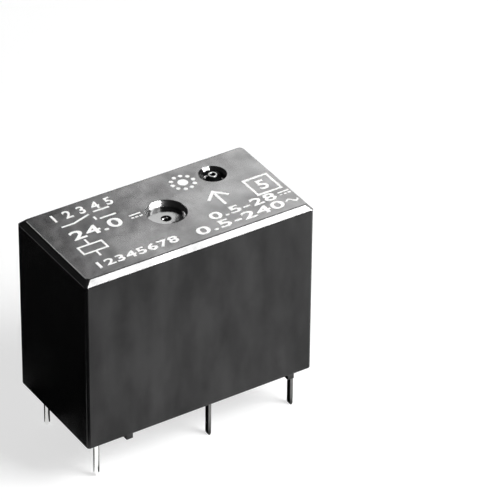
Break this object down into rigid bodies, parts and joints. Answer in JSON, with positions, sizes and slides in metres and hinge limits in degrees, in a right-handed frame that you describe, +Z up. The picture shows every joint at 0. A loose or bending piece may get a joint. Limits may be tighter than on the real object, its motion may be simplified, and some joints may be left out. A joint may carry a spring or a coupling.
{
  "type": "pcb power relay",
  "caption": "Sealed changeover power relay for circuit boards: black moulded case on solder pins, with coil, rocking armature, sliding card and a contact spring between fixed contacts.",
  "frame": {"origin": "middle of the case in plan, on the plane of the pin tips", "axes": "+X along the long sides towards the contact pins, -Y the front long side with the common pin, +Z up out of the board"},
  "size_m": [0.0204, 0.0104, 0.0193],
  "materials": {
    "case_plastic": "fine satin black moulding",
    "base_plastic": "plain black moulding",
    "resin": "cast black epoxy resin",
    "iron": "nickel-plated soft iron",
    "bobbin_plastic": "ivory moulding",
    "copper_wire": "enamelled copper wire",
    "tape_film": "yellow insulating film",
    "spring_bronze": "rolled copper-alloy spring strip",
    "rivet_brass": "plain brass",
    "card_plastic": "plain green moulding",
    "contact_silver": "silver alloy",
    "tinned_metal": "bright tin plating"
  },
  "bodies": {
    "housing": {"case": "case_plastic", "base": "base_plastic", "sealing_resin": "resin", "yoke": "iron", "core": "iron", "bobbin": "bobbin_plastic", "coil_winding": "copper_wire", "coil_tape": "tape_film", "coil_lead_front": "copper_wire", "coil_lead_rear": "copper_wire", "coil_terminal_front": "tinned_metal", "coil_terminal_rear": "tinned_metal", "hinge_spring": "spring_bronze", "hinge_spring_rivet": "rivet_brass", "common_terminal": "tinned_metal", "no_terminal": "tinned_metal", "nc_terminal": "tinned_metal", "no_contact": "contact_silver", "nc_contact": "contact_silver"},
    "armature": {"armature": "iron"},
    "card": {"card": "card_plastic"},
    "contact_spring": {"moving_spring": "spring_bronze", "moving_contact": "contact_silver", "spring_rivet_front": "rivet_brass", "spring_rivet_rear": "rivet_brass"}
  },
  "joints": [
    {"name": "armature_hinge", "type": "hinge", "parent": "housing", "child": "armature", "pos_m": [0, 0, 0.01595], "axis": [0, -1, 0], "range_deg": [0, 3.76], "stiffness_Nm_per_rad": 0.0001, "springref_deg": -17.19},
    {"name": "card_slide", "type": "slide", "parent": "housing", "child": "card", "axis": [1, 0, 0], "range_m": [0, 0.00031164]},
    {"name": "spring_hinge", "type": "hinge", "parent": "housing", "child": "contact_spring", "pos_m": [0.00474, 0, 0.00665], "axis": [0, 1, 0], "range_deg": [0, 3.92]}
  ],
  "couplings": [
    {"joint": "card_slide", "follows": "armature_hinge", "m_per_rad": 0.00475},
    {"joint": "spring_hinge", "follows": "armature_hinge", "ratio": 1.0423}
  ]
}
